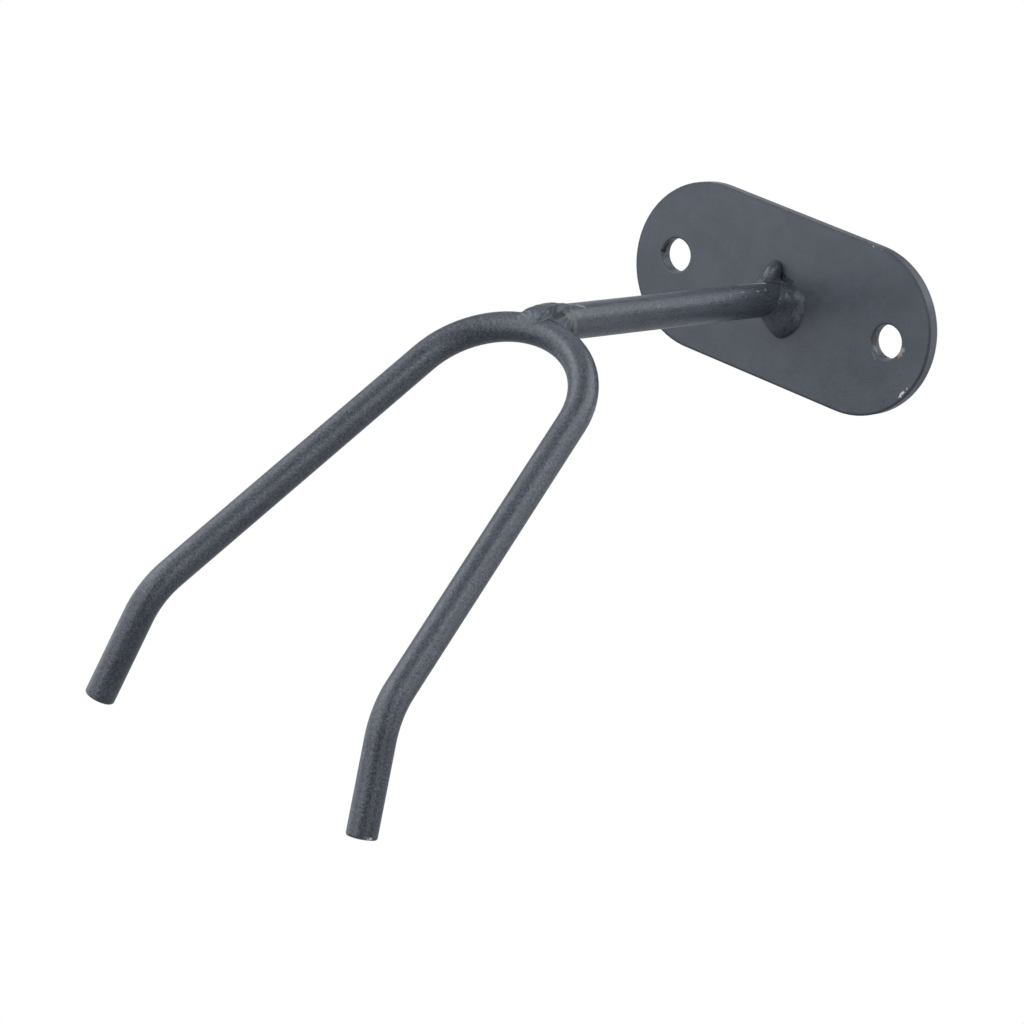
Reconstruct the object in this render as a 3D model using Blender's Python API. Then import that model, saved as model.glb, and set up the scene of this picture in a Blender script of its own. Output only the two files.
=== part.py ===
"""Bicycle wall rack: a steel hanger welded from flat bar and round bar.

An obround wall plate with two screw holes carries a round stem. The stem ends
in a fork bent from one round bar, whose two tines rise away from the wall and
turn up at their tips. Two weld beads join the three pieces.

The origin is the centre of the plate's back face. +X runs along the plate,
+Y points into the wall and +Z is up. Lengths are in metres.
"""
import math

import bmesh
import bpy
from mathutils import Matrix, Vector

# Wall plate
PLATE_LENGTH = 0.126
PLATE_WIDTH = 0.060
PLATE_THICKNESS = 0.005
HOLE_DIAMETER = 0.012
HOLE_SPACING = 0.092
PLATE_EDGE_RADIUS = 0.0005

# Stem
STEM_DIAMETER = 0.012
STEM_END_CHAMFER = 0.0006

# Fork: one bar, bent into a U in a plane that slopes up away from the wall
FORK_DIAMETER = 0.010
FORK_REACH = 0.1395
FORK_RISE = 0.0035
FORK_SLOPE = math.radians(41.5)
BEND_RADIUS = 0.0315
TINE_SPLAY = math.radians(9.0)
TINE_LENGTH = 0.1115
TIP_BEND_RADIUS = 0.025
TIP_BEND_ANGLE = math.radians(39.0)
TIP_LEAN = math.radians(3.5)
TIP_LENGTH = 0.0305
TIP_EDGE_RADIUS = 0.0007

# Weld bead on the plate, with heaps and dips as (size, direction, width), angles in degrees
PLATE_WELD_RADIUS = 0.0106
PLATE_WELD_HEIGHT = 0.0105
PLATE_WELD_FULLNESS = 1.0
UPPER_HEAP = (0.0034, 126, 42)
LOWER_HEAP = (0.0028, -64, 18)
BEAD_STOP = (-0.0036, -106, 24)
CREST_HEAP = (0.0032, -62, 28)
CREST_DIP = (-0.0062, -104, 22)
PLATE_WELD_RIPPLE = 0.0002
PLATE_WELD_RIPPLES = 9

# Weld bead under the fork's bend
FORK_WELD_START = Vector((0.0114, -0.1415, 0.0016))
FORK_WELD_END = Vector((-0.0028, -0.1352, -0.0046))
FORK_WELD_WIDTH = 0.0098
FORK_WELD_DEPTH = 0.0068
FORK_WELD_RIPPLE = 0.03
FORK_WELD_RIPPLES = 14

# Powder coat
PLATE_COLOUR = (0.092, 0.101, 0.118)
BAR_COLOUR = (0.080, 0.088, 0.104)
WELD_COLOUR = (0.078, 0.085, 0.099)
PLATE_ROUGHNESS = 0.48
BAR_ROUGHNESS = 0.42
WELD_ROUGHNESS = 0.50

# Clearance between solids that touch
GAP = 0.0003

# Facets
BAR_SIDES = 40
CAP_SIDES = 48
HOLE_SIDES = 48
BEAD_STEPS_ROUND = 72
BEAD_STEPS_ACROSS = 9
BEAD_SUBDIVISIONS = 4
BEND_STEP = math.radians(4.5)
EDGE_STEPS = 3
SHARP_ANGLE = math.radians(35.0)


def clear_scene():
    for old in list(bpy.data.objects):
        bpy.data.objects.remove(old, do_unlink=True)


def coating(name, colour, roughness):
    """Dark satin powder coat over steel."""
    material = bpy.data.materials.new(name)
    material.use_nodes = True
    shader = material.node_tree.nodes["Principled BSDF"]
    shader.inputs["Base Color"].default_value = (*colour, 1.0)
    shader.inputs["Metallic"].default_value = 0.0
    shader.inputs["Roughness"].default_value = roughness
    return material


def add_object(name, bm, material):
    """Turn a bmesh into a named object with its faces pointing out."""
    bmesh.ops.recalc_face_normals(bm, faces=bm.faces)
    mesh = bpy.data.meshes.new(name)
    bm.to_mesh(mesh)
    bm.free()
    mesh.materials.append(material)
    mesh.shade_smooth()
    mesh.set_sharp_from_angle(angle=SHARP_ANGLE)
    piece = bpy.data.objects.new(name, mesh)
    bpy.context.collection.objects.link(piece)
    return piece


def hide_cutter(cutter):
    cutter.hide_render = True
    cutter.display_type = "WIRE"


def subtract(piece, cutter):
    hide_cutter(cutter)
    cut = piece.modifiers.new("cut_" + cutter.name, "BOOLEAN")
    cut.operation = "DIFFERENCE"
    cut.solver = "EXACT"
    cut.object = cutter


def join_rings(bm, rings, closed=False):
    """Skin a list of vertex rings with quads."""
    pairs = list(zip(rings, rings[1:]))
    if closed:
        pairs.append((rings[-1], rings[0]))
    for lower, upper in pairs:
        count = len(lower)
        for i in range(count):
            j = (i + 1) % count
            bm.faces.new((lower[i], lower[j], upper[j], upper[i]))


def sweep_bar(stations, radius, sides, edge):
    """Round bar along stations of (point, direction), with its end rims rounded by edge."""
    start, start_heading = stations[0]
    end, end_heading = stations[-1]
    turns = [math.pi / 2 * k / EDGE_STEPS for k in range(EDGE_STEPS + 1)]
    rim = [(edge * (1 - math.cos(turn)), radius - edge * (1 - math.sin(turn))) for turn in turns]
    sections = [(start + start_heading * depth, start_heading, size) for depth, size in rim]
    sections += [(point, heading, radius) for point, heading in stations[1:-1]]
    sections += [(end - end_heading * depth, end_heading, size) for depth, size in reversed(rim)]
    bm = bmesh.new()
    side = start_heading.orthogonal().normalized()
    previous = start_heading
    rings = []
    for point, heading, size in sections:
        side.rotate(previous.rotation_difference(heading))
        previous = heading
        up = heading.cross(side)
        ring = []
        for i in range(sides):
            angle = 2 * math.pi * i / sides
            ring.append(bm.verts.new(point + (side * math.cos(angle) + up * math.sin(angle)) * size))
        rings.append(ring)
    join_rings(bm, rings)
    bm.faces.new(rings[0])
    bm.faces.new(rings[-1])
    return bm


def wall_plate(material):
    """Obround flat bar with a screw hole near each end and softly broken edges."""
    centre_x = (PLATE_LENGTH - PLATE_WIDTH) / 2
    radius = PLATE_WIDTH / 2
    bm = bmesh.new()
    outline = []
    for side in (1, -1):
        for i in range(CAP_SIDES + 1):
            angle = math.pi * i / CAP_SIDES - math.pi / 2
            x = side * (centre_x + radius * math.cos(angle))
            z = side * radius * math.sin(angle)
            outline.append(bm.verts.new((x, 0.0, z)))
    back = bm.faces.new(outline)
    front = bmesh.ops.extrude_face_region(bm, geom=[back])
    moved = [item for item in front["geom"] if isinstance(item, bmesh.types.BMVert)]
    bmesh.ops.translate(bm, verts=moved, vec=(0.0, -PLATE_THICKNESS, 0.0))
    plate = add_object("wall_plate", bm, material)
    for label, side in (("right", 1), ("left", -1)):
        bm = bmesh.new()
        bmesh.ops.create_cone(
            bm, cap_ends=True, segments=HOLE_SIDES, radius1=HOLE_DIAMETER / 2,
            radius2=HOLE_DIAMETER / 2, depth=3 * PLATE_THICKNESS)
        place = Matrix.Translation((side * HOLE_SPACING / 2, -PLATE_THICKNESS / 2, 0.0))
        bmesh.ops.transform(bm, matrix=place @ Matrix.Rotation(math.pi / 2, 4, "X"), verts=bm.verts)
        subtract(plate, add_object("hole_cutter_" + label, bm, material))
    edges = plate.modifiers.new("broken_edges", "BEVEL")
    edges.width = PLATE_EDGE_RADIUS
    edges.segments = EDGE_STEPS
    edges.limit_method = "ANGLE"
    edges.angle_limit = SHARP_ANGLE
    return plate


def stem(material):
    """Straight round bar, square to the plate, ending behind the fork's bend."""
    start = Vector((0.0, -(PLATE_THICKNESS + GAP), 0.0))
    end = Vector((0.0, -(FORK_REACH - FORK_DIAMETER / 2 - GAP), 0.0))
    direction = (end - start).normalized()
    stations = [(start, direction), (end, direction)]
    bm = sweep_bar(stations, STEM_DIAMETER / 2, BAR_SIDES, STEM_END_CHAMFER)
    return add_object("stem", bm, material)


def bend(stations, centre_side, radius, angle):
    """Continue stations round an arc of the given radius towards centre_side."""
    point, direction = stations[-1]
    centre = point + centre_side * radius
    count = max(2, math.ceil(angle / BEND_STEP))
    for i in range(1, count + 1):
        turn = angle * i / count
        spoke = direction * math.sin(turn) - centre_side * math.cos(turn)
        heading = direction * math.cos(turn) + centre_side * math.sin(turn)
        stations.append((centre + spoke * radius, heading))


def straight(stations, length):
    point, direction = stations[-1]
    stations.append((point + direction * length, direction))


def tine(side):
    """Centreline of one half of the fork, from the middle of the bend to the tip."""
    outward = Vector((side, 0.0, 0.0))
    forward = Vector((0.0, -math.cos(FORK_SLOPE), math.sin(FORK_SLOPE)))
    upward = Vector((0.0, math.sin(FORK_SLOPE), math.cos(FORK_SLOPE)))
    stations = [(Vector((0.0, -FORK_REACH, FORK_RISE)), outward)]
    bend(stations, forward, BEND_RADIUS, math.pi / 2 - TINE_SPLAY)
    straight(stations, TINE_LENGTH)
    sideways = outward * math.cos(TINE_SPLAY) - forward * math.sin(TINE_SPLAY)
    tip_side = upward * math.cos(TIP_LEAN) + sideways * math.sin(TIP_LEAN)
    bend(stations, tip_side, TIP_BEND_RADIUS, TIP_BEND_ANGLE)
    straight(stations, TIP_LENGTH)
    return stations


def fork_centreline():
    """Stations from the left tip round the bend to the right tip."""
    left = [(point, -direction) for point, direction in reversed(tine(-1))]
    return left + tine(1)[1:]


def fork(material):
    """One round bar bent into a U, with both tips turned up."""
    bm = sweep_bar(fork_centreline(), FORK_DIAMETER / 2, BAR_SIDES, TIP_EDGE_RADIUS)
    return add_object("fork", bm, material)


def lobe(angle, size, centre_degrees, width_degrees):
    """Smooth heap or dip of the given size towards one direction of a bead."""
    offset = math.remainder(angle - math.radians(centre_degrees), 2 * math.pi)
    return size * math.exp(-(offset / math.radians(width_degrees)) ** 2)


def plate_weld(material):
    """Fillet bead round the stem, heaped above and below and thin at its stop."""
    bore = STEM_DIAMETER / 2 + GAP
    seat = -(PLATE_THICKNESS + GAP)
    power = 2 / PLATE_WELD_FULLNESS
    bm = bmesh.new()
    rings = []
    for i in range(BEAD_STEPS_ROUND):
        angle = 2 * math.pi * i / BEAD_STEPS_ROUND
        reach = PLATE_WELD_RADIUS + lobe(angle, *UPPER_HEAP) + lobe(angle, *LOWER_HEAP)
        reach += lobe(angle, *BEAD_STOP) + PLATE_WELD_RIPPLE * math.sin(PLATE_WELD_RIPPLES * angle)
        height = PLATE_WELD_HEIGHT + lobe(angle, *CREST_HEAP) + lobe(angle, *CREST_DIP)
        spoke = Vector((math.cos(angle), 0.0, math.sin(angle)))
        ring = [bm.verts.new(spoke * bore + Vector((0.0, seat, 0.0)))]
        for k in range(BEAD_STEPS_ACROSS + 1):
            turn = math.pi / 2 * k / BEAD_STEPS_ACROSS
            radius = bore + (reach - bore) * math.cos(turn) ** power
            rise = height * math.sin(turn) ** power
            ring.append(bm.verts.new(spoke * radius + Vector((0.0, seat - rise, 0.0))))
        rings.append(ring)
    join_rings(bm, rings, closed=True)
    return add_object("plate_weld", bm, material)


def fork_weld(material):
    """Bead laid from the bar's underside to the step below it in the stem's end."""
    middle = (FORK_WELD_START + FORK_WELD_END) / 2
    along = (FORK_WELD_START - FORK_WELD_END) / 2
    forward = Vector((0.0, -1.0, 0.0))
    across = (forward - along * (forward.dot(along) / along.length_squared)).normalized()
    down = along.cross(across).normalized()
    bm = bmesh.new()
    bmesh.ops.create_icosphere(bm, subdivisions=BEAD_SUBDIVISIONS, radius=1.0)
    for vert in bm.verts:
        ripple = 1 + FORK_WELD_RIPPLE * math.sin(FORK_WELD_RIPPLES * vert.co.x)
        span = along * vert.co.x
        width = across * (vert.co.y * ripple * FORK_WELD_WIDTH / 2)
        depth = down * (vert.co.z * ripple * FORK_WELD_DEPTH / 2)
        vert.co = middle + span + width + depth
    bead = add_object("fork_weld", bm, material)
    bar = sweep_bar(fork_centreline(), FORK_DIAMETER / 2 + GAP, BAR_SIDES, TIP_EDGE_RADIUS)
    subtract(bead, add_object("fork_cutter", bar, material))
    wall_side = Vector((0.0, 1.0, 0.0))
    end_face = Vector((0.0, -(FORK_REACH - FORK_DIAMETER / 2), 0.0))
    stations = [(end_face, wall_side), (end_face + wall_side * STEM_DIAMETER, wall_side)]
    block = sweep_bar(stations, STEM_DIAMETER, BAR_SIDES, STEM_END_CHAMFER)
    subtract(bead, add_object("stem_cutter", block, material))
    return bead


def build():
    clear_scene()
    wall_plate(coating("plate_coat", PLATE_COLOUR, PLATE_ROUGHNESS))
    stem(coating("stem_coat", BAR_COLOUR, BAR_ROUGHNESS))
    fork(coating("fork_coat", BAR_COLOUR, BAR_ROUGHNESS))
    plate_weld(coating("plate_weld_coat", WELD_COLOUR, WELD_ROUGHNESS))
    fork_weld(coating("fork_weld_coat", WELD_COLOUR, WELD_ROUGHNESS))


build()
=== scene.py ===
"""Bicycle wall rack: looks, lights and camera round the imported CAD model.

Lengths are in metres and the frame is the CAD model's: the origin is the centre
of the plate's back, +Y points into the wall and +Z is up. Only the weld beads and
the marks are laid out in millimetres: the plate's bead from the plate's front, the
fork's bead from the middle of the bend, and the marks in the CAD model's frame.
"""
import math

import bmesh
import bpy
from mathutils import Matrix, Vector, noise


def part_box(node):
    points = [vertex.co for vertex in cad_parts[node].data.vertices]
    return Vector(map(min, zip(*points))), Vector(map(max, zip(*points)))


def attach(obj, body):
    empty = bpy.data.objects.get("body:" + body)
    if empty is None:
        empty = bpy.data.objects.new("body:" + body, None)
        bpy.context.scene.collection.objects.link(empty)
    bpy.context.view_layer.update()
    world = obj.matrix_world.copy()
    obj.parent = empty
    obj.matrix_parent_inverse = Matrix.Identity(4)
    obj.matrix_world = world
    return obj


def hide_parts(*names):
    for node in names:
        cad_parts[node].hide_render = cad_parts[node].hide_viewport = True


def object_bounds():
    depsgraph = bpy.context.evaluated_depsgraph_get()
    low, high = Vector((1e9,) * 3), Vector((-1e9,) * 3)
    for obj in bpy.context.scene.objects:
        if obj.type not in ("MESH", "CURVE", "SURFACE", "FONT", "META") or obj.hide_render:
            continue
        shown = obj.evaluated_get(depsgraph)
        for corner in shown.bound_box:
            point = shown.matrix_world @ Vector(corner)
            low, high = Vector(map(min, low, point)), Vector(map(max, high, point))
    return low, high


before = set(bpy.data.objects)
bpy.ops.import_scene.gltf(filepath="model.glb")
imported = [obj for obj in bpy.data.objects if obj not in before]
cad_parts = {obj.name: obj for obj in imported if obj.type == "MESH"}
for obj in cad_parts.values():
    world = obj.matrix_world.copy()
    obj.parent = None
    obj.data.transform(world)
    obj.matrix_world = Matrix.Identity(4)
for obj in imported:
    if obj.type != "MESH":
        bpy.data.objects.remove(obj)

CAD_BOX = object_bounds()
MM = 0.001

# Camera: in front, to the left and below, rolled over so that the tips point down.
# Not set by hand: these values come from a fit to the rack's outline in the photo.
CAMERA_AZIMUTH = 34.2815
CAMERA_CLIMB = 17.1116
CAMERA_ROLL = 193.7048
CAMERA_AIM = Vector((0.0467, -0.0660, 0.0917))
CAMERA_DISTANCE = 1.4895
CAMERA_LENS = 149.681
SENSOR_WIDTH = 36.0
CLIP_NEAR = 0.01
CLIP_FAR = 100.0

# Room
FLOOR_DROP = 1.0
FLOOR_RADIUS = 14.0
FLOOR_SIDES = 96
FLOOR_COLOUR = (0.86, 0.86, 0.86)
FLOOR_ROUGHNESS = 0.9
FLOOR_SHEEN = 0.1
FLOOR_BOUNCE = (0.5, 0.5, 0.5)
FLOOR_GLOW = 0.62
WHITE = (1.0, 1.0, 1.0)
BACKDROP_WHITE = 1.0
AMBIENT_FRONT = 0.42
AMBIENT_BACK = 0.54
AMBIENT_TURN = 0.5

# Softboxes: name, swing and tilt in degrees, distance, width, height, radiance.
# Not set by hand: another program solved most of them, and the ambient light above,
# from the photo's shading, and they were then rounded.
SOFTBOXES = [
    ("left_front", -47.0, 70.0, 1.1, 0.88, 1.65, 2.25),
    ("left_top", -92.0, 43.0, 1.1, 0.65, 0.60, 2.22),
    ("left_side", -102.0, 67.0, 1.1, 1.50, 1.40, 1.24),
    ("right_front", 28.0, 89.0, 1.1, 0.58, 1.25, 1.40),
    ("right_side", 79.0, 84.0, 1.1, 0.75, 1.05, 1.66),
    ("right_top", 72.0, 46.0, 1.1, 1.70, 0.90, 2.44),
    ("front_top", 20.0, 62.0, 1.1, 0.62, 0.62, 0.76),
    ("overhead", 220.0, 13.0, 1.1, 1.40, 0.50, 0.80),
    ("back_top", 180.0, 62.0, 1.1, 0.62, 0.62, 0.45),
    ("back_right", 126.0, 86.0, 1.1, 0.62, 0.62, 0.62),
]
LIGHT_TINT = (0.955, 1.0, 1.075)

# Powder coat
COAT_DARK = (0.0290, 0.0325, 0.0395)
COAT_LIGHT = (0.0335, 0.0375, 0.0455)
FLECK = (0.095, 0.100, 0.105)
# Near-black, for the plate rim's dark line and for the darkest painted shade
RIM_AND_SHADE_BLACK = (0.010, 0.010, 0.010)
# Marks: colour, share of the gloss left, and how their outline wanders
MARKS = {
    # Light chips, and along the stem's top edge by the plate a painted highlight
    "chip_and_painted_highlight": ((0.46, 0.46, 0.46), 0.8, "fine"),
    # Light scuffs, and on the crest of the plate bead's high start a painted highlight
    "scuff_and_painted_highlight": ((0.125, 0.125, 0.115), 0.7, "fine"),
    # Pale scratches, and along the stem's top edge by the plate a painted highlight
    "scratch_and_painted_highlight": ((0.150, 0.155, 0.166), 0.8, "fine"),
    "worn": ((0.088, 0.091, 0.085), 0.8, "broad"),
    "tan": ((0.215, 0.190, 0.165), 0.5, "fine"),
    "rust": ((0.055, 0.045, 0.042), 0.4, "broad"),
    # Darkest painted shade: the notch beside the plate bead and a hole's shaded wall
    "deep_painted_shade": (RIM_AND_SHADE_BLACK, 0.25, "broad"),
    # Softer painted shade: round the notch by the plate bead and in the recess under the fork's bend
    "shade": ((0.024, 0.027, 0.029), 0.62, "broad"),
}
# Each coat: roughness, strength of its grain and of its flecks, and a factor on its colours
PLATE_COAT = {"rough": 0.37, "grain": 0.15, "flecks": 0.08, "shade": 1.15}
STEM_COAT = {"rough": 0.32, "grain": 0.85, "flecks": 0.50, "shade": 1.0}
FORK_COAT = {"rough": 0.32, "grain": 1.05, "flecks": 0.35, "shade": 1.0}
WELD_COAT = {"rough": 0.38, "grain": 0.8, "flecks": 0.35, "shade": 1.08}
# Noise patterns, from broad to fine: scale, detail, roughness
CLOUD = (95.0, 3.0, 0.5)
MOTTLE = (420.0, 3.0, 0.6)
PEEL = (900.0, 3.0, 0.6)
SPECK = (1700.0, 2.0, 0.7)
GRIT = (1900.0, 2.0, 0.7)
# The part of a pattern's range that drives each effect
COLOUR_SPAN = (0.35, 0.65)
PIGMENT_SPAN = (0.28, 0.72)
FLECK_SPAN = (0.60, 0.74)
SHEEN_SPAN = (0.3, 0.7)
# How far the coat drifts from its middle values (pigment: for a grain of 1)
PIGMENT_DRIFT = 0.95
ROUGHNESS_DRIFT = 0.05
GLOSS = 0.5
GLOSS_DRIFT = 0.015
# Heights of the bumps (for a grain of 1, except the first), and the shading's edge rounding
WAVE_HEIGHT = 0.00002
WAVE_GRAIN = 0.00004
PEEL_HEIGHT = 0.00016
GRIT_HEIGHT = 0.00003
EDGE_SOFTNESS = 0.0010
EDGE_SAMPLES = 6
# Marks: how far their outline wanders and where it fades, as shares of their radius,
# and how much rougher they are than the coat
MARK_WANDER = 5.0
MARK_FULL = 0.7
MARK_END = 1.2
MARK_ROUGHER = 0.2
# Dark line on the plate's broken front edge: where it fades, how dark, gloss left
RIM_FULL = 0.0004
RIM_END = 0.0012
RIM_DARK = 0.30
RIM_GLOSS = 0.68

# A Mix node's sockets: its factor, its numbers, its colours and the colour it gives
MIX_FACTOR = 0
MIX_NUMBERS = (2, 3)
MIX_COLOURS = (6, 7)
MIX_COLOUR_OUT = 2

# Sizes read from the CAD nodes, and the fork's bend as the CAD makes it
PLATE_LOW, PLATE_HIGH = (Vector(c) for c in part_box("wall_plate"))
STEM_LOW, STEM_HIGH = (Vector(c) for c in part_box("stem"))
FORK_LOW, FORK_HIGH = (Vector(c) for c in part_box("fork"))
PLATE_FRONT = PLATE_LOW.y
STEM_RADIUS = (STEM_HIGH.x - STEM_LOW.x) / 2
FORK_RADIUS = 0.005
BEND_RISE = FORK_LOW.z + FORK_RADIUS
BEND_POINT = Vector((0.0, FORK_HIGH.y - FORK_RADIUS, BEND_RISE))
BEND_RADIUS = 0.0315
FORK_SLOPE = math.radians(41.5)


# ---------------------------------------------------------------- materials

def node(tree, kind, **values):
    """Add a node; values set its properties, and names that are sockets set their defaults."""
    made = tree.nodes.new(kind)
    for name, value in values.items():
        if name in made.inputs:
            made.inputs[name].default_value = value
        else:
            setattr(made, name, value)
    return made


def link(tree, source, target):
    tree.links.new(source, target)


def noise_value(tree, where, scale, detail, roughness):
    made = node(tree, "ShaderNodeTexNoise", Scale=scale, Detail=detail, Roughness=roughness)
    link(tree, where, made.inputs["Vector"])
    return made.outputs["Fac"]


def remap(tree, value, low, high, to_low=0.0, to_high=1.0, kind="SMOOTHSTEP"):
    made = node(tree, "ShaderNodeMapRange")
    made.interpolation_type = kind
    made.inputs["From Min"].default_value = low
    made.inputs["From Max"].default_value = high
    made.inputs["To Min"].default_value = to_low
    made.inputs["To Max"].default_value = to_high
    link(tree, value, made.inputs["Value"])
    return made.outputs["Result"]


def maths(tree, operation, first, second=0.0):
    made = node(tree, "ShaderNodeMath")
    made.operation = operation
    for socket, value in zip(made.inputs, (first, second)):
        if isinstance(value, (int, float)):
            socket.default_value = value
        else:
            link(tree, value, socket)
    return made.outputs["Value"]


def mix_colour(tree, factor, first, second):
    """Mix of two colours; the factor is a socket or a number, a colour may be a socket."""
    made = node(tree, "ShaderNodeMix", data_type="RGBA")
    sockets = [made.inputs[i] for i in (MIX_FACTOR, *MIX_COLOURS)]
    for socket, value in zip(sockets, (factor, first, second)):
        if isinstance(value, (int, float)):
            socket.default_value = value
        elif isinstance(value, tuple):
            socket.default_value = (*value, 1.0)
        else:
            link(tree, value, socket)
    return made.outputs[MIX_COLOUR_OUT]


def mark_mask(tree, where, marks, ragged):
    """Mask of ragged marks, each (start, end, radius) in millimetres."""
    total = None
    for start, end, radius in marks:
        start, end, radius = Vector(start) * MM, Vector(end) * MM, radius * MM
        run = end - start
        offset = node(tree, "ShaderNodeVectorMath", operation="SUBTRACT")
        link(tree, where, offset.inputs[0])
        offset.inputs[1].default_value = start
        along = node(tree, "ShaderNodeVectorMath", operation="SCALE")
        along.inputs[0].default_value = run
        if run.length > 0:
            dot = node(tree, "ShaderNodeVectorMath", operation="DOT_PRODUCT")
            link(tree, offset.outputs[0], dot.inputs[0])
            dot.inputs[1].default_value = run / run.length_squared
            share = remap(tree, dot.outputs["Value"], 0.0, 1.0, kind="LINEAR")
            link(tree, share, along.inputs["Scale"])
        away = node(tree, "ShaderNodeVectorMath", operation="DISTANCE")
        link(tree, offset.outputs[0], away.inputs[0])
        link(tree, along.outputs[0], away.inputs[1])
        wobble = maths(tree, "MULTIPLY", maths(tree, "SUBTRACT", ragged, 0.5), radius * MARK_WANDER)
        edge = maths(tree, "ADD", away.outputs["Value"], wobble)
        spot = remap(tree, edge, radius * MARK_FULL, radius * MARK_END, 1.0, 0.0)
        total = spot if total is None else maths(tree, "MAXIMUM", total, spot)
    return total


def rim_mask(tree, where):
    """Mask of the plate's broken front edge, all the way round its outline."""
    split = node(tree, "ShaderNodeSeparateXYZ")
    link(tree, where, split.inputs[0])
    straight = PLATE_HIGH.x - PLATE_HIGH.z
    end = maths(tree, "SUBTRACT", maths(tree, "ABSOLUTE", split.outputs["X"]), straight)
    end = maths(tree, "MAXIMUM", end, 0.0)
    across = maths(tree, "POWER", split.outputs["Z"], 2.0)
    out = maths(tree, "SQRT", maths(tree, "ADD", maths(tree, "MULTIPLY", end, end), across))
    inset = maths(tree, "SUBTRACT", PLATE_HIGH.z, out)
    depth = maths(tree, "SUBTRACT", split.outputs["Y"], PLATE_FRONT)
    return remap(tree, maths(tree, "MAXIMUM", inset, depth), RIM_FULL, RIM_END, 1.0, 0.0)


def bump(tree, height, distance, below):
    made = node(tree, "ShaderNodeBump", Strength=1.0, Distance=distance)
    link(tree, height, made.inputs["Height"])
    link(tree, below, made.inputs["Normal"])
    return made.outputs["Normal"]


def powder_coat(name, rough, grain, flecks, shade, marks, rim=False):
    """Satin powder coat with a fine hammered grain and light flecks, marked at a few places."""
    material = bpy.data.materials.new(name)
    material.use_nodes = True
    tree = material.node_tree
    shader = tree.nodes["Principled BSDF"]
    where = node(tree, "ShaderNodeTexCoord").outputs["Object"]
    cloud = noise_value(tree, where, *CLOUD)
    mottle = noise_value(tree, where, *MOTTLE)
    peel = noise_value(tree, where, *PEEL)
    fine = noise_value(tree, where, *GRIT)
    speck = noise_value(tree, where, *SPECK)
    dark = tuple(c * shade for c in COAT_DARK)
    light = tuple(c * shade for c in COAT_LIGHT)
    colour = mix_colour(tree, remap(tree, cloud, *COLOUR_SPAN), dark, light)
    drift = PIGMENT_DRIFT * grain
    pigment = remap(tree, speck, *PIGMENT_SPAN, 1.0 - drift, 1.0 + drift, "LINEAR")
    scaled = node(tree, "ShaderNodeVectorMath", operation="SCALE")
    link(tree, colour, scaled.inputs[0])
    link(tree, pigment, scaled.inputs["Scale"])
    colour = scaled.outputs[0]
    colour = mix_colour(tree, remap(tree, peel, *FLECK_SPAN, 0.0, flecks), colour, FLECK)
    uneven = remap(tree, mottle, *SHEEN_SPAN, -ROUGHNESS_DRIFT, ROUGHNESS_DRIFT)
    roughness = maths(tree, "ADD", uneven, rough)
    gloss = remap(tree, cloud, *SHEEN_SPAN, GLOSS - GLOSS_DRIFT, GLOSS + GLOSS_DRIFT)
    # Marks: real chips, scuffs, wear and stains, and also painted shade and painted highlights
    for kind, places in marks:
        tone, dull, ragged = MARKS[kind]
        mask = mark_mask(tree, where, places, {"fine": fine, "broad": mottle}[ragged])
        colour = mix_colour(tree, mask, colour, tone)
        roughness = maths(tree, "ADD", roughness, maths(tree, "MULTIPLY", mask, MARK_ROUGHER))
        gloss = maths(tree, "MULTIPLY", gloss, remap(tree, mask, 0.0, 1.0, 1.0, dull, "LINEAR"))
    if rim:
        edge = rim_mask(tree, where)
        colour = mix_colour(tree, maths(tree, "MULTIPLY", edge, RIM_DARK), colour, RIM_AND_SHADE_BLACK)
        gloss = maths(tree, "MULTIPLY", gloss, remap(tree, edge, 0.0, 1.0, 1.0, RIM_GLOSS, "LINEAR"))
    link(tree, colour, shader.inputs["Base Color"])
    link(tree, roughness, shader.inputs["Roughness"])
    link(tree, gloss, shader.inputs["Specular IOR Level"])
    rounded = node(tree, "ShaderNodeBevel", samples=EDGE_SAMPLES, Radius=EDGE_SOFTNESS)
    waves = bump(tree, mottle, WAVE_HEIGHT + WAVE_GRAIN * grain, rounded.outputs["Normal"])
    orange = bump(tree, peel, PEEL_HEIGHT * grain, waves)
    grit = bump(tree, fine, GRIT_HEIGHT * grain, orange)
    link(tree, grit, shader.inputs["Normal"])
    return material


# ---------------------------------------------------------------- weld beads

def add_piece(name, bm, material, slot, *replaced):
    """Turn a bmesh into a smooth piece that takes the place of the replaced CAD nodes."""
    bmesh.ops.recalc_face_normals(bm, faces=bm.faces)
    mesh = bpy.data.meshes.new(name)
    bm.to_mesh(mesh)
    bm.free()
    mesh.shade_smooth()
    mesh.materials.append(material)
    piece = bpy.data.objects.new(name, mesh)
    bpy.context.scene.collection.objects.link(piece)
    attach(piece, "root")
    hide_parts(*replaced)


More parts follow.
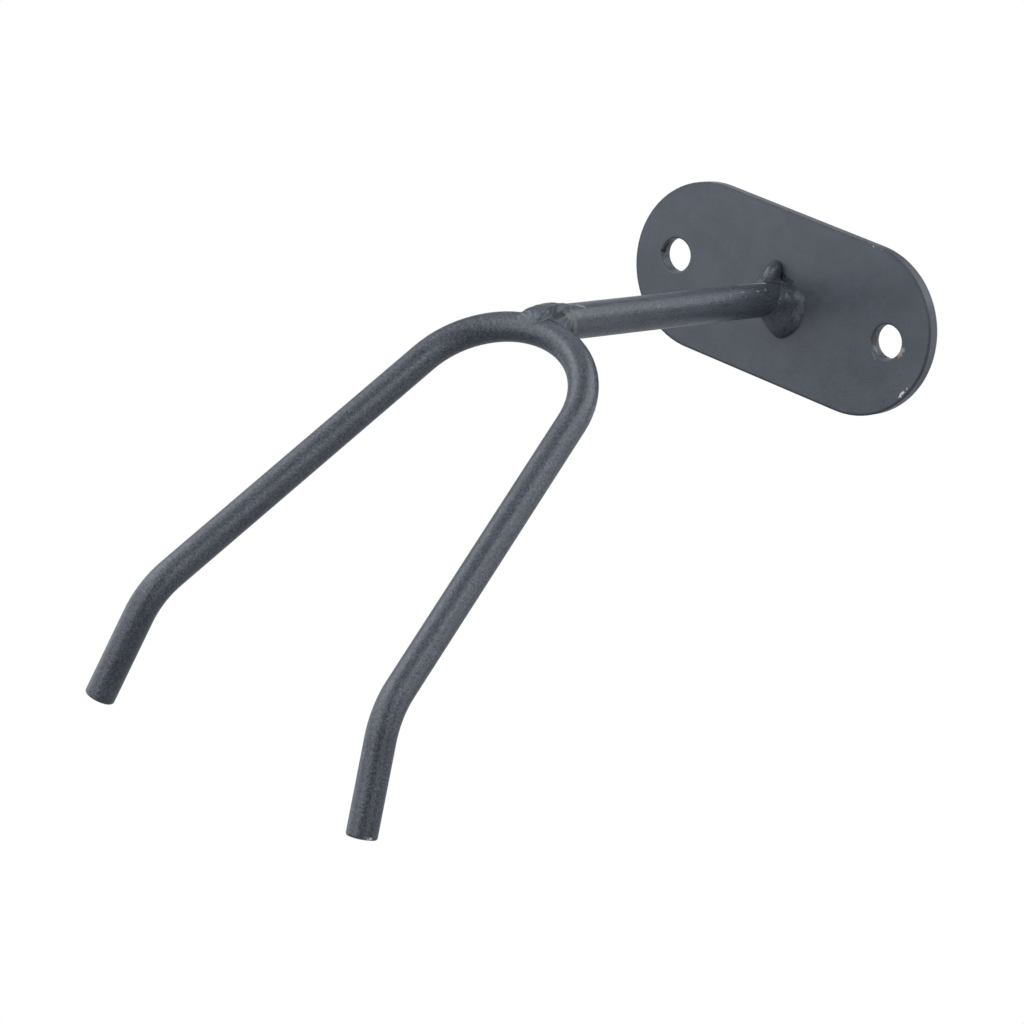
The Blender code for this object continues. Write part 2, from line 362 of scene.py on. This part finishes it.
# Plate bead, degrees and millimetres round the stem: angle, reach, height, hollow.
# On the side that the photo shows, angles, reaches and heights started as points picked on
# the photo and traced onto the model by another program, and were then adjusted.
PLATE_BEAD = [
    (-165.0, 11.3, 10.5, 2.40),
    (-144.0, 9.1, 9.6, 1.80),
    (-131.0, 7.8, 9.0, 1.20),
    (-117.0, 7.3, 7.6, 1.00),
    (-106.0, 6.9, 5.0, 0.90),
    (-96.0, 6.8, 3.8, 0.80),
    (-87.0, 6.9, 3.8, 0.70),
    (-82.0, 7.6, 4.2, 0.45),
    (-79.0, 11.0, 4.8, 0.28),
    (-74.0, 12.4, 6.6, 0.36),
    (-67.0, 13.2, 9.8, 0.60),
    (-57.0, 13.0, 13.0, 0.92),
    (-40.0, 11.4, 12.5, 1.00),
    (-10.0, 10.3, 11.0, 1.00),
    (30.0, 9.8, 10.0, 1.00),
    (70.0, 9.5, 9.6, 1.00),
    (88.0, 11.6, 10.2, 0.90),
    (106.0, 14.2, 10.6, 0.65),
    (126.0, 13.6, 11.4, 0.65),
    (148.0, 12.7, 11.0, 1.10),
    (170.0, 12.4, 10.6, 2.60),
]
# Pinholes on the plate bead: x, height off the plate, z, size
PINHOLES = [
    (-7.5, 5.8, -2.7, 0.55),
    (-8.1, 4.6, -1.6, 0.45),
    (-7.1, 6.4, -4.0, 0.40),
]
# Their depth, as a share of their size
PINHOLE_DEPTH = 0.9
# Its mesh: points round and across, crowding at the toe, and reach into stem and plate
PLATE_BEAD_AROUND = 360
PLATE_BEAD_ACROSS = 44
PLATE_BEAD_CROWDING = 1.5
PLATE_BEAD_OVERLAP = 0.4
# Steep lip against the stem, and how far the toe dips into the plate
LIP_HEIGHT = 1.7
LIP_STEEPNESS = 9
TOE_DIP = 0.12
# Lumps fade out against the stem and towards the toe
STEM_FADE = 5.0
TOE_FADE = 4.0
TOE_LUMPS = 0.1

# Lumps and ripples on the beads: spacing and height; the cove's lumps are higher
PLATE_LUMPS = (3.6, 0.30)
PLATE_RIPPLES = (0.9, 0.06)
FORK_LUMPS = (2.3, 0.22)
FORK_RIPPLES = (0.8, 0.10)
COVE_EXTRA = 0.20
# How the lumps get weaker and finer from one octave to the next, and how many octaves
LUMP_FALL = 0.9
LUMP_SPLIT = 2.0
PLATE_OCTAVES = 2
FORK_OCTAVES = 3

# Fork bead: x from the middle of the bend in millimetres, degrees round the bar
FORK_BEAD_ALONG = 120
FORK_BEAD_AROUND = 170
FORK_BEAD_START = -6.6
FORK_BEAD_LENGTH = 18.8
FORK_BEAD_FIRST = -166.0
FORK_BEAD_SWEEP = 222.0
# How deep the bead's inner face lies in the bar
FORK_BEAD_CORE = 1.2
# How far its ends and sides sink below the bar's skin, and where
BURIED = 0.3
RIGHT_END = (11.0, 12.2)
LEFT_END = (5.2, 6.6)
SIDE_WIDTH = (4.6, 5.8)
SIDE_TURN = (-38.0, -14.0)
# Thickness at which the lumps are full, and where the cove's extra height ends
LUMP_THICKNESS = 0.8
COVE_EXTRA_SPAN = (-1.0, 3.0)
# Tongue: where it lies on the bar and how far round it laps
TONGUE_MIDDLE = 3.6
TONGUE_LONG = 7.8
TONGUE_SHORT = 3.0
TONGUE_TOE = -96.0
TONGUE_WRAP = 65.0
TONGUE_TOP = -74.0
# Tongue: height of its crest, the slope along it, and the drop at its end
CREST_HEIGHT = 9.5
CREST_SLOPE = 0.20
CREST_SLOPE_START = 1.6
CREST_DROP = 3.2
CREST_DROP_SPAN = (10.0, 12.2)
TONGUE_HOLLOW = 1.8
# Tongue: the small step at its toe
TOE_SINK = 0.1
TOE_STEP = 0.25
TOE_STEP_SPAN = (0.0, 1.2)
# Chevron ripples behind the toe: height, radians per millimetre, where they start and end
CHEVRON_HEIGHT = 0.09
CHEVRON_RATE = 5.2
CHEVRON_START = (0.1, 0.5)
CHEVRON_END = (2.0, 4.5)
# Cove over the stem's cut end, and where the tongue takes over from it
COVE_START = -84.0
COVE_SPAN = 24.0
COVE_DEPTH = 4.9
COVE_HOLLOW = 1.5
COVE_SINK = 0.2
COVE_TO_TONGUE = (-1.6, 1.8)
COVE_BLEND = 0.4
# Lap over the stem's underside
LAP_THICKNESS = 0.38
LAP_SINK = 0.06
LAP_THINS = (5.4, 8.8)
LAP_THINS_LEFT = (1.5, 5.0)
LAP_WIDE_RIGHT = 1.55
LAP_WIDE_LEFT = 1.03
LAP_BLEND = 0.9
# Where the lap ends towards the wall
LAP_END = 9.4
LAP_END_ROUNDING = 3.8
LAP_END_SPAN = (2.0, 6.0)
LAP_END_CUT = 4.5
LAP_END_CUT_SPAN = (6.0, 11.8)
LAP_END_BLEND = 0.7
# Root run in the groove between the bar and the stem's end
ROOT_END = 6.6
ROOT_TURN = (-16.0, 2.0)
ROOT_PROUD = 0.1
ROOT_BLEND = 0.4
# Least slopes that the two limits are divided by
LEAST_DOWN = 0.2
LEAST_INWARD = 0.02


def round_profile(stations, angle):
    """Smooth closed curve through the stations, read at an angle in degrees.

    It's a cubic Hermite curve whose slopes come from the neighbouring stations.
    """
    count = len(stations)
    angle = (angle - stations[0][0]) % 360.0 + stations[0][0]
    first = max(i for i in range(count) if stations[i][0] <= angle)
    picked = []
    for step in (-1, 0, 1, 2):
        turn, index = divmod(first + step, count)
        picked.append((stations[index][0] + 360.0 * turn, stations[index][1:]))
    (a0, v0), (a1, v1), (a2, v2), (a3, v3) = picked
    span = a2 - a1
    t = (angle - a1) / span
    values = []
    for p0, p1, p2, p3 in zip(v0, v1, v2, v3):
        m1 = (p2 - p0) / (a2 - a0) * span
        m2 = (p3 - p1) / (a3 - a1) * span
        start = (2 * t ** 3 - 3 * t ** 2 + 1) * p1 + (t ** 3 - 2 * t ** 2 + t) * m1
        values.append(start + (3 * t ** 2 - 2 * t ** 3) * p2 + (t ** 3 - t ** 2) * m2)
    return values


def lumps(point, lump, octaves):
    spacing, height = lump
    return noise.fractal(point / spacing, LUMP_FALL, LUMP_SPLIT, octaves) * height


def ripples(point, ripple):
    spacing, height = ripple
    return noise.noise(point / spacing) * height


def plate_bead(material):
    """Fillet bead round the stem: a high start, a notch beside it, and a full lower lobe."""
    around, across = PLATE_BEAD_AROUND, PLATE_BEAD_ACROSS
    bore = STEM_RADIUS / MM - PLATE_BEAD_OVERLAP
    bm = bmesh.new()
    rings = []
    for i in range(around):
        degrees = 360.0 * i / around
        reach, height, hollow = round_profile(PLATE_BEAD, degrees)
        spoke = Vector((math.cos(math.radians(degrees)), 0.0, math.sin(math.radians(degrees))))
        ring = [spoke * bore + Vector((0.0, PLATE_BEAD_OVERLAP, 0.0))]
        for k in range(across + 1):
            share = (1.0 - k / across) ** PLATE_BEAD_CROWDING
            radius = bore + (reach - bore) * (1.0 - share)
            rise = height * share ** hollow + LIP_HEIGHT * share ** LIP_STEEPNESS - TOE_DIP
            point = spoke * radius - Vector((0.0, rise, 0.0))
            slope = math.atan2(height, reach - bore)
            outward = spoke * math.sin(slope) - Vector((0.0, math.cos(slope), 0.0))
            fade = min(1.0, STEM_FADE * (1.0 - share)) * min(1.0, TOE_LUMPS + TOE_FADE * share)
            lump = lumps(point, PLATE_LUMPS, PLATE_OCTAVES)
            fine = ripples(point, PLATE_RIPPLES)
            for x, off, z, size in PINHOLES:
                away = (point - Vector((x, -off, z))).length
                fine -= size * PINHOLE_DEPTH * math.exp(-(away / size) ** 2)
            ring.append(point + outward * (lump + fine) * fade)
        rings.append([bm.verts.new((v.x * MM, PLATE_FRONT + v.y * MM, v.z * MM)) for v in ring])
    for i in range(around):
        ring, after = rings[i], rings[(i + 1) % around]
        for k in range(len(ring)):
            j = (k + 1) % len(ring)
            bm.faces.new((ring[k], ring[j], after[j], after[k]))
    add_piece("plate_bead", bm, material, "weld_coat", "plate_weld")


def ease(value, low, high):
    share = min(1.0, max(0.0, (value - low) / (high - low)))
    return share * share * (3.0 - 2.0 * share)


def soft_least(first, second, blend):
    """Smaller of two values with the corner between them rounded off."""
    share = min(1.0, max(0.0, 0.5 + 0.5 * (second - first) / blend))
    return second * (1 - share) + first * share - blend * share * (1 - share)


def soft_most(first, second, blend):
    return -soft_least(-first, -second, blend)


def bar_middle(x):
    """Middle of the fork's bar at x, measured from the middle of the bend."""
    radius = BEND_RADIUS / MM
    sag = radius - math.sqrt(radius ** 2 - x * x)
    return Vector((x, -sag * math.cos(FORK_SLOPE), sag * math.sin(FORK_SLOPE)))


def tongue_skin(x, degrees):
    """Tongue that laps round the bar, with chevron ripples near its toe."""
    bar = FORK_RADIUS / MM
    spread = (x - TONGUE_MIDDLE) / (TONGUE_LONG if x > TONGUE_MIDDLE else TONGUE_SHORT)
    toe = TONGUE_TOE - TONGUE_WRAP * math.sqrt(max(0.0, 1.0 - spread * spread))
    crest = CREST_HEIGHT - CREST_SLOPE * max(0.0, x - CREST_SLOPE_START)
    crest -= CREST_DROP * ease(x, *CREST_DROP_SPAN)
    share = max(0.0, (degrees - toe) / (TONGUE_TOP - toe))
    away = bar * math.radians(degrees - toe)
    chevron = CHEVRON_HEIGHT * math.sin(CHEVRON_RATE * away)
    chevron *= ease(away, *CHEVRON_START) * (1.0 - ease(away, *CHEVRON_END))
    foot = bar - TOE_SINK
    rise = (crest - foot - TOE_STEP) * share ** TONGUE_HOLLOW
    return foot + TOE_STEP * ease(away, *TOE_STEP_SPAN) + rise + chevron


def cove_skin(degrees):
    """Hollow beside the tongue, over the stem's cut end."""
    share = max(0.0, (degrees - COVE_START) / COVE_SPAN)
    return FORK_RADIUS / MM - COVE_SINK + COVE_DEPTH * share ** COVE_HOLLOW


def lap_radius(x, depth):
    """Radius of the lap over the stem's underside, which thins out towards the wall."""
    thin = (1.0 - ease(depth, *LAP_THINS)) * (1.0 - ease(-x, *LAP_THINS_LEFT))
    return STEM_RADIUS / MM + LAP_THICKNESS * thin - LAP_SINK


def lap_end(x, degrees):
    """How far the lap reaches from the bend towards the wall."""
    back = LAP_END - LAP_END_ROUNDING * ease(abs(x), *LAP_END_SPAN)
    back -= LAP_END_CUT * ease(x, *LAP_END_CUT_SPAN)
    return back + (min(back, ROOT_END) - back) * ease(degrees, *ROOT_TURN)


def fork_bead_radius(x, degrees):
    """How far the fork bead's skin stands from the middle of the bar, in millimetres."""
    bend_rise = BEND_RISE / MM
    buried = FORK_RADIUS / MM - BURIED
    _, bar_y, bar_z = bar_middle(x)
    down = max(LEAST_DOWN, -math.sin(math.radians(degrees)))
    inward = max(LEAST_INWARD, math.cos(math.radians(degrees)))
    cove = cove_skin(degrees)
    mixed = cove + (tongue_skin(x, degrees) - cove) * ease(x, *COVE_TO_TONGUE)
    skin = soft_most(cove, mixed, COVE_BLEND)
    # No lower than the lap under the stem, and no nearer the wall than the lap's end
    half = lap_radius(x, skin * inward + bar_y)
    wide = half * (LAP_WIDE_RIGHT if x > 0 else LAP_WIDE_LEFT)
    under = half * math.sqrt(max(0.0, 1.0 - (x / wide) ** 2))
    skin = soft_least(skin, (bend_rise + bar_z + under) / down, LAP_BLEND)
    skin = soft_least(skin, (lap_end(x, degrees) - bar_y) / inward, LAP_END_BLEND)
    # Above the bar's middle only the groove is filled, level with the stem's top
    if degrees > 0.0:
        over = math.sqrt(max(0.0, (STEM_RADIUS / MM + ROOT_PROUD) ** 2 - x * x))
        to_over = (over - bend_rise - bar_z) / math.sin(math.radians(degrees))
        skin = soft_least(skin, max(buried, to_over), ROOT_BLEND)
    side = 1.0 - ease(abs(x), *SIDE_WIDTH) * ease(degrees, *SIDE_TURN)
    edge = (1.0 - ease(x, *RIGHT_END) - ease(-x, *LEFT_END)) * side
    return buried + (skin - buried) * edge


def fork_bead(material):
    """Bead under the bend: a tongue round the bar and a rough cove on the stem's cut end."""
    along, around = FORK_BEAD_ALONG, FORK_BEAD_AROUND
    spacing, height = FORK_LUMPS
    bar = FORK_RADIUS / MM
    bm = bmesh.new()
    rings = []
    for i in range(along + 1):
        x = FORK_BEAD_START + FORK_BEAD_LENGTH * i / along
        middle = bar_middle(x)
        extra = COVE_EXTRA * (1.0 - ease(x, *COVE_EXTRA_SPAN))
        outer, inner = [], []
        for k in range(around + 1):
            degrees = FORK_BEAD_FIRST + FORK_BEAD_SWEEP * k / around
            turn = math.radians(degrees)
            spoke = Vector((0.0, math.cos(turn), math.sin(turn)))
            skin = fork_bead_radius(x, degrees)
            proud = min(1.0, max(0.0, (skin - bar) / LUMP_THICKNESS))
            point = middle + spoke * skin
            lump = lumps(point, (spacing, height + extra), FORK_OCTAVES)
            lump += ripples(point, FORK_RIPPLES)
            outer.append(point + spoke * lump * proud)
            inner.append(middle + spoke * (bar - FORK_BEAD_CORE))
        ring = outer + inner[::-1]
        rings.append([bm.verts.new(BEND_POINT + v * MM) for v in ring])
    count = len(rings[0])
    for ring, after in zip(rings, rings[1:]):
        for k in range(count):
            j = (k + 1) % count
            bm.faces.new((ring[k], ring[j], after[j], after[k]))
    for ring in (rings[0], rings[-1]):
        for k in range(around):
            bm.faces.new((ring[k], ring[k + 1], ring[count - 2 - k], ring[count - 1 - k]))
    add_piece("fork_bead", bm, material, "weld_coat", "fork_weld")


# ---------------------------------------------------------------- camera, room and lights

def camera_axes():
    """Right, up and back of the camera, with its roll."""
    azimuth, climb, roll = (math.radians(a) for a in (CAMERA_AZIMUTH, CAMERA_CLIMB, CAMERA_ROLL))
    level_reach = math.cos(climb)
    ahead = Vector((math.sin(azimuth) * level_reach, math.cos(azimuth) * level_reach, math.sin(climb)))
    level = ahead.cross(Vector((0.0, 0.0, 1.0))).normalized()
    upright = level.cross(ahead)
    right = level * math.cos(roll) + upright * math.sin(roll)
    up = upright * math.cos(roll) - level * math.sin(roll)
    return right, up, -ahead


RIGHT, UP, BACK = camera_axes()


def add_camera():
    lens = bpy.data.cameras.new("camera")
    lens.lens = CAMERA_LENS
    lens.sensor_width = SENSOR_WIDTH
    lens.clip_start = CLIP_NEAR
    lens.clip_end = CLIP_FAR
    camera = bpy.data.objects.new("camera", lens)
    bpy.context.scene.collection.objects.link(camera)
    turned = Matrix((RIGHT, UP, BACK)).transposed().to_4x4()
    camera.matrix_world = Matrix.Translation(CAMERA_AIM + BACK * CAMERA_DISTANCE) @ turned
    bpy.context.scene.camera = camera


def add_softbox(name, swing, tilt, distance, width, height, radiance):
    """Soft panel aimed at the rack, swung to the camera's right and tilted down from overhead."""
    light = bpy.data.lights.new(name, "AREA")
    light.shape = "RECTANGLE"
    light.size = width
    light.size_y = height
    light.color = LIGHT_TINT
    light.energy = radiance * math.pi * width * height
    panel = bpy.data.objects.new(name, light)
    bpy.context.scene.collection.objects.link(panel)
    swing, tilt = math.radians(swing), math.radians(tilt)
    level = RIGHT * math.sin(swing) + BACK * math.cos(swing)
    direction = level * math.sin(tilt) + UP * math.cos(tilt)
    middle = (CAD_BOX[0] + CAD_BOX[1]) / 2
    side = UP.cross(direction).normalized()
    above = direction.cross(side)
    turned = Matrix((side, above, direction)).transposed().to_4x4()
    panel.matrix_world = Matrix.Translation(middle + direction * distance) @ turned
    panel.visible_camera = False


def add_floor():
    """White floor below the rack, which throws back less light than it shows."""
    bm = bmesh.new()
    bmesh.ops.create_circle(bm, cap_ends=True, segments=FLOOR_SIDES, radius=FLOOR_RADIUS)
    mesh = bpy.data.meshes.new("floor")
    bm.to_mesh(mesh)
    bm.free()
    material = bpy.data.materials.new("floor_paint")
    material.use_nodes = True
    tree = material.node_tree
    shader = tree.nodes["Principled BSDF"]
    shader.inputs["Base Color"].default_value = (*FLOOR_COLOUR, 1.0)
    shader.inputs["Roughness"].default_value = FLOOR_ROUGHNESS
    shader.inputs["Specular IOR Level"].default_value = FLOOR_SHEEN
    shader.inputs["Emission Color"].default_value = (*WHITE, 1.0)
    shader.inputs["Emission Strength"].default_value = FLOOR_GLOW
    dim = node(tree, "ShaderNodeBsdfDiffuse", Color=(*FLOOR_BOUNCE, 1.0))
    seen = node(tree, "ShaderNodeLightPath").outputs["Is Camera Ray"]
    chosen = node(tree, "ShaderNodeMixShader")
    link(tree, seen, chosen.inputs[0])
    link(tree, dim.outputs[0], chosen.inputs[1])
    link(tree, shader.outputs[0], chosen.inputs[2])
    link(tree, chosen.outputs[0], tree.nodes["Material Output"].inputs["Surface"])
    mesh.materials.append(material)
    floor = bpy.data.objects.new("floor", mesh)
    floor.location.z = CAD_BOX[0].z - FLOOR_DROP
    bpy.context.scene.collection.objects.link(floor)


def add_world():
    """White to the camera; a softer light on the rack, brighter behind it than in front."""
    world = bpy.data.worlds.new("studio")
    bpy.context.scene.world = world
    world.use_nodes = True
    tree = world.node_tree
    background = tree.nodes["Background"]
    where = node(tree, "ShaderNodeTexCoord").outputs["Generated"]
    split = node(tree, "ShaderNodeSeparateXYZ")
    link(tree, where, split.inputs[0])
    turn = (-AMBIENT_TURN, AMBIENT_TURN)
    ambient = remap(tree, split.outputs["Y"], *turn, AMBIENT_FRONT, AMBIENT_BACK, "LINEAR")
    seen = node(tree, "ShaderNodeLightPath").outputs["Is Camera Ray"]
    strength = node(tree, "ShaderNodeMix", data_type="FLOAT")
    dim, bright = (strength.inputs[i] for i in MIX_NUMBERS)
    link(tree, seen, strength.inputs[MIX_FACTOR])
    link(tree, ambient, dim)
    bright.default_value = BACKDROP_WHITE
    link(tree, strength.outputs[0], background.inputs["Strength"])
    tint = mix_colour(tree, seen, LIGHT_TINT, WHITE)
    link(tree, tint, background.inputs["Color"])


# Marks on each part: kind, then start, end and radius in millimetres.
# Their places, like the plate bead's, started as points picked on the photo and traced onto
# the model by another program, and were then adjusted.
PLATE_MARKS = [
    ("chip_and_painted_highlight", [
        ((-56.7, -5.0, 16.0), (-57.5, -5.0, 14.2), 0.42),
        ((-58.6, -5.0, 12.5), (-58.6, -5.0, 12.5), 0.30),
        ((-31.3, -5.0, -29.7), (-31.3, -5.0, -29.7), 0.20),
    ]),
    ("scuff_and_painted_highlight", [
        ((-59.8, -5.0, 10.8), (-59.8, -5.0, 10.8), 0.30),
        ((-34.4, -5.0, -29.8), (-35.4, -5.0, -29.8), 0.25),
        ((-42.0, -5.0, 5.6), (-43.6, -5.0, 7.2), 0.18),
        ((-41.5, -3.6, 4.2), (-41.9, -3.6, 4.8), 0.80),
    ]),
    ("tan", [((-52.9, -5.0, 0.3), (-52.4, -5.0, 2.7), 0.80)]),
    ("rust", [((-40.2, -3.9, -1.6), (-40.5, -3.0, 2.2), 1.20)]),
    ("deep_painted_shade", [
        # Painted shade on the shaded wall of the hole at +X
        ((51.6, -3.6, -3.4), (52.0, -4.0, 0.6), 1.00),
        # Painted shade in the notch beside the plate bead
        ((1.2, -5.0, -8.2), (0.2, -5.0, -7.9), 0.70),
    ]),
    ("shade", [
        # Painted shade in the notch beside the plate bead and along the lower lobe's edge
        ((1.2, -5.0, -8.4), (-0.2, -5.0, -7.8), 1.10),
        ((-0.8, -5.0, -7.4), (-3.6, -5.0, -7.2), 0.45),
    ]),
]
STEM_MARKS = [
    ("scuff_and_painted_highlight", [
        ((-3.4, -25.9, -5.0), (-3.6, -25.0, -4.9), 0.30),
        ((-3.3, -20.9, -5.0), (-3.0, -20.2, -5.2), 0.35),
        ((-3.1, -34.9, -5.1), (-3.3, -33.6, -5.0), 0.28),
    ]),
    ("scratch_and_painted_highlight", [
        ((-0.9, -127.4, -5.9), (-2.0, -125.2, -5.6), 0.60),
        # Painted highlight along the stem's top edge by the plate
        ((1.5, -31.0, -5.8), (0.7, -15.5, -6.0), 0.42),
    ]),
    # Painted highlight along the stem's top edge by the plate
    ("chip_and_painted_highlight", [((1.2, -20.5, -5.9), (0.2, -16.0, -6.0), 0.22)]),
    ("worn", [
        ((-4.4, -133.8, -4.1), (-5.9, -133.4, -1.2), 1.90),
        ((-3.2, -133.8, -5.1), (-4.1, -130.6, -4.4), 1.10),
        ((-6.0, -132.8, 0.4), (-5.9, -132.0, 1.4), 0.60),
    ]),
]
FORK_MARKS = [
    ("scuff_and_painted_highlight", [
        ((-59.6, -257.7, 136.9), (-60.9, -255.2, 136.5), 0.50),
        ((36.8, -209.6, 63.8), (36.8, -209.6, 63.8), 0.35),
    ]),
    ("chip_and_painted_highlight", [((-60.3, -256.5, 136.7), (-60.6, -255.9, 136.6), 0.34)]),
]
WELD_MARKS = [
    ("scuff_and_painted_highlight", [
        ((-7.0, -11.6, -3.4), (-7.4, -11.2, -2.8), 0.35),
        # Painted highlight along the crest of the plate bead's high start
        ((2.6, -13.8, -7.2), (4.4, -10.4, -9.6), 0.55),
    ]),
    ("worn", [
        ((-4.2, -135.2, -4.2), (-5.6, -134.4, -1.4), 2.00),
        ((1.0, -17.4, -7.0), (3.2, -15.6, -7.2), 1.30),
    ]),
    ("shade", [
        # Painted shade in the recess over the stem's cut end, under the fork's bend
        ((-0.6, -137.9, -3.0), (0.8, -137.2, -5.2), 1.10),
        ((-3.2, -136.4, -2.4), (-1.6, -137.0, -3.6), 1.20),
        ((0.4, -139.0, -3.6), (1.6, -138.6, -4.4), 0.80),
        # Painted shade in the notch beside the plate bead
        ((1.4, -5.6, -7.6), (-0.6, -5.4, -7.2), 1.10),
        ((-0.8, -5.2, -7.1), (-3.4, -5.2, -6.9), 0.45),
    ]),
    ("deep_painted_shade", [
        # Painted shade in the notch beside the plate bead
        ((-1.6, -10.6, -7.2), (-4.2, -8.6, -6.4), 0.80),
        ((1.3, -5.6, -7.6), (0.2, -5.4, -7.4), 0.70),
    ]),
]


def dress_cad_nodes():
    """Give the CAD plate, stem and fork their finished coats."""
    coats = {
        "wall_plate": powder_coat("plate_finish", **PLATE_COAT, marks=PLATE_MARKS, rim=True),
        "stem": powder_coat("stem_finish", **STEM_COAT, marks=STEM_MARKS),
        "fork": powder_coat("fork_finish", **FORK_COAT, marks=FORK_MARKS),
    }
    for name, material in coats.items():
        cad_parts[name].material_slots[0].material = material


def build():
    """Dress the rack, add its weld beads, and set up the studio round it."""
    dress_cad_nodes()
    weld_coat = powder_coat("weld_finish", **WELD_COAT, marks=WELD_MARKS)
    plate_bead(weld_coat)
    fork_bead(weld_coat)
    add_floor()
    add_world()
    for softbox in SOFTBOXES:
        add_softbox(*softbox)
    add_camera()
    bpy.context.scene.view_settings.view_transform = "Standard"


build()
